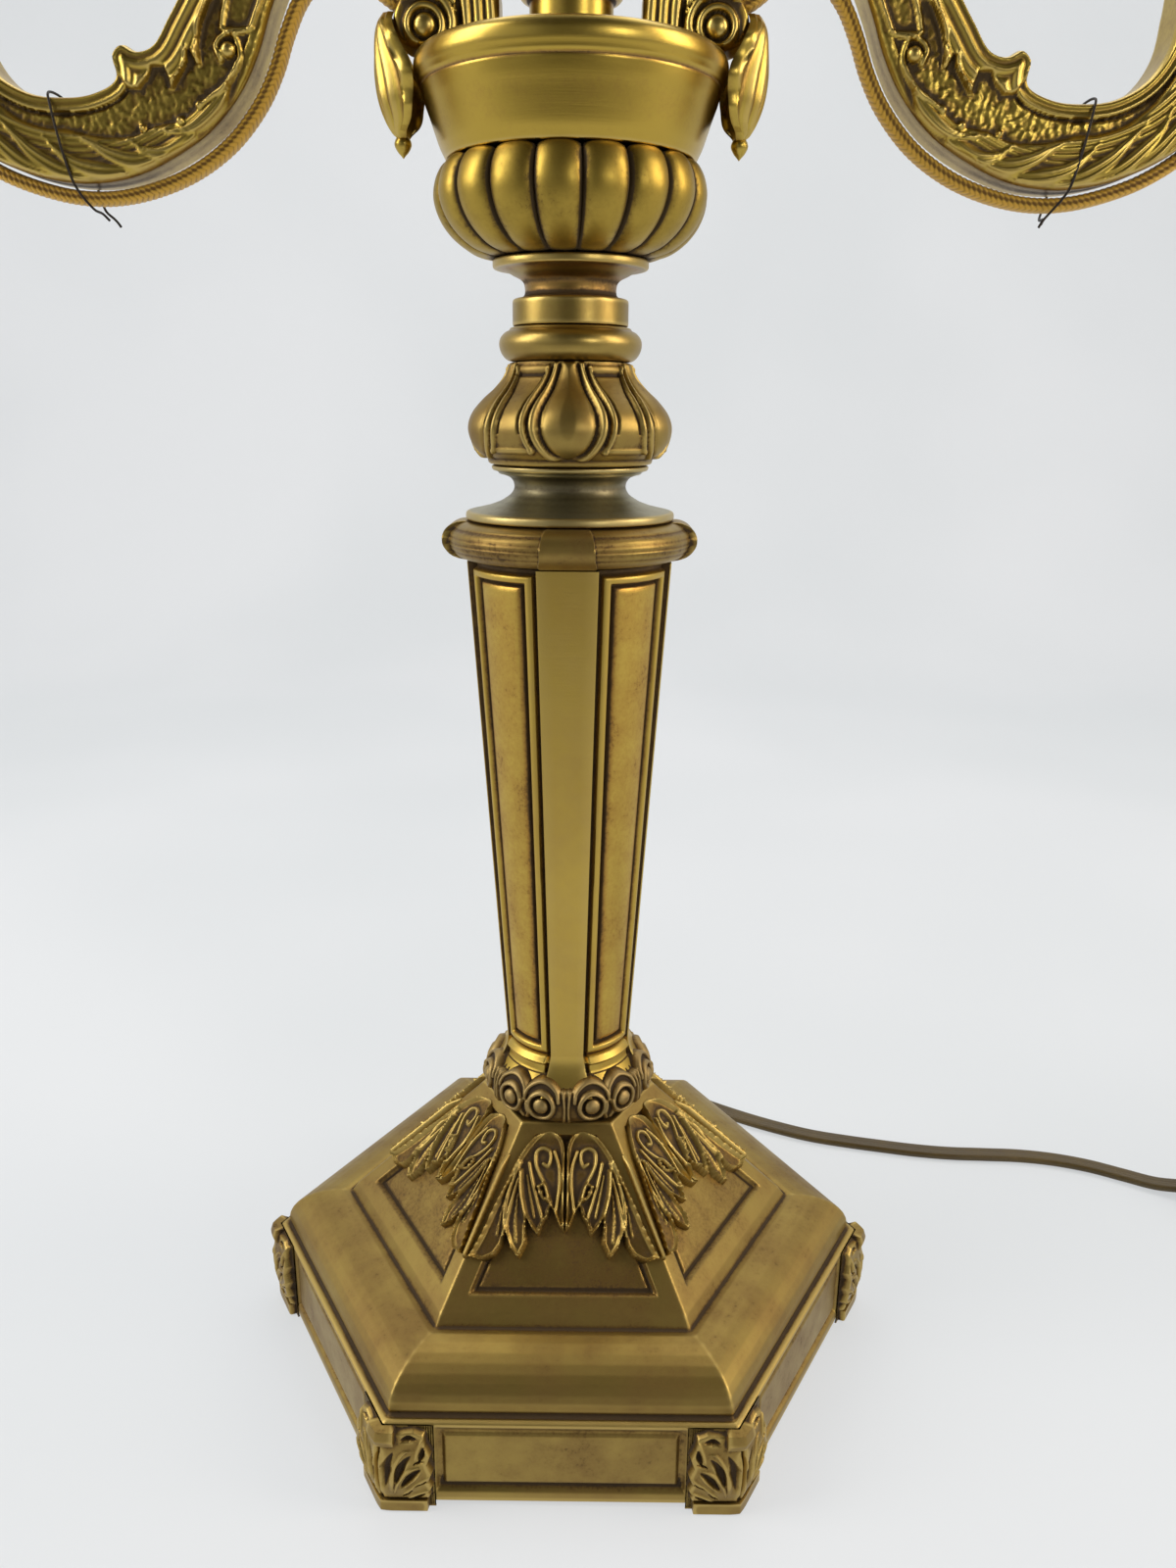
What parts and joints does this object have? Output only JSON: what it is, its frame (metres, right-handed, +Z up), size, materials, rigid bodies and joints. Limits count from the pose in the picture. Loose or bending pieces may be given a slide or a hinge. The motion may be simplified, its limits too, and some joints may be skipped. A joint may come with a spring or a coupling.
{
  "type": "candelabra table lamp",
  "caption": "Brass candelabra table lamp: hexagonal base, tapered column, gadrooned urn, scrolled arms with candle lights and a mains cord with inline switch.",
  "frame": {"origin": "centre of the hexagonal base, on the plane the corner feet rest on", "axes": "+Z up along the column, -Y the flat side of the base that faces the viewer, +X along the right arm"},
  "size_m": [0.5528, 0.2679, 0.5876],
  "materials": {
    "brass": "aged, satin, dark in the recesses",
    "polished_brass": "polished, lightly worn",
    "grey_brass": "dull grey-green patina",
    "steel": "zinc plated",
    "felt": "matte",
    "braid": "woven, gold",
    "dark_wire": "dark oxide",
    "candle_ivory": "satin",
    "opal_glass": "glossy, opal",
    "brown_plastic": "satin",
    "pale_resin": "matte"
  },
  "bodies": {
    "lamp": {"base_casting": "brass", "base_board": "felt", "corner_foot_1": "brass", "corner_foot_2": "brass", "corner_foot_3": "brass", "corner_foot_4": "brass", "corner_foot_5": "brass", "corner_foot_6": "brass", "leaf_collar": "brass", "medallion_ring": "brass", "column": "brass", "column_capital": "brass", "hollow_neck": "grey_brass", "knop": "brass", "small_torus": "brass", "flanged_collar": "brass", "gadrooned_bowl": "polished_brass", "urn_body": "polished_brass", "right_arm": "brass", "right_scroll_leaf": "brass", "right_arm_cord": "braid", "right_tie_wire": "dark_wire", "right_arm_screw": "steel", "left_arm": "brass", "left_scroll_leaf": "brass", "left_arm_cord": "braid", "left_tie_wire": "dark_wire", "left_arm_screw": "steel", "urn_cover": "brass", "centre_tube": "polished_brass", "stem_cap": "polished_brass", "lamp_pipe": "steel", "pipe_washer": "steel", "pipe_nut": "brass", "inner_lead": "brown_plastic", "terminal_block": "pale_resin", "right_drip_pan": "polished_brass", "right_candle_cup": "polished_brass", "right_candle_sleeve": "candle_ivory", "right_lampholder": "pale_resin", "right_bulb": "opal_glass", "left_drip_pan": "polished_brass", "left_candle_cup": "polished_brass", "left_candle_sleeve": "candle_ivory", "left_lampholder": "pale_resin", "left_bulb": "opal_glass", "centre_drip_pan": "polished_brass", "centre_candle_cup": "polished_brass", "centre_candle_sleeve": "candle_ivory", "centre_lampholder": "pale_resin", "centre_bulb": "opal_glass", "cord_bushing": "brown_plastic", "mains_cord": "brown_plastic", "switch_housing": "brown_plastic", "cord_coil": "brown_plastic", "cord_to_coil": "brown_plastic", "cord_to_plug": "brown_plastic", "plug": "brown_plastic"},
    "switch_wheel": {"switch_wheel": "brown_plastic"}
  },
  "joints": [
    {"name": "switch_turn", "type": "hinge", "parent": "lamp", "child": "switch_wheel", "pos_m": [0.27435, 0.04379, 0.0082], "axis": [0, 0, 1], "continuous": true}
  ]
}
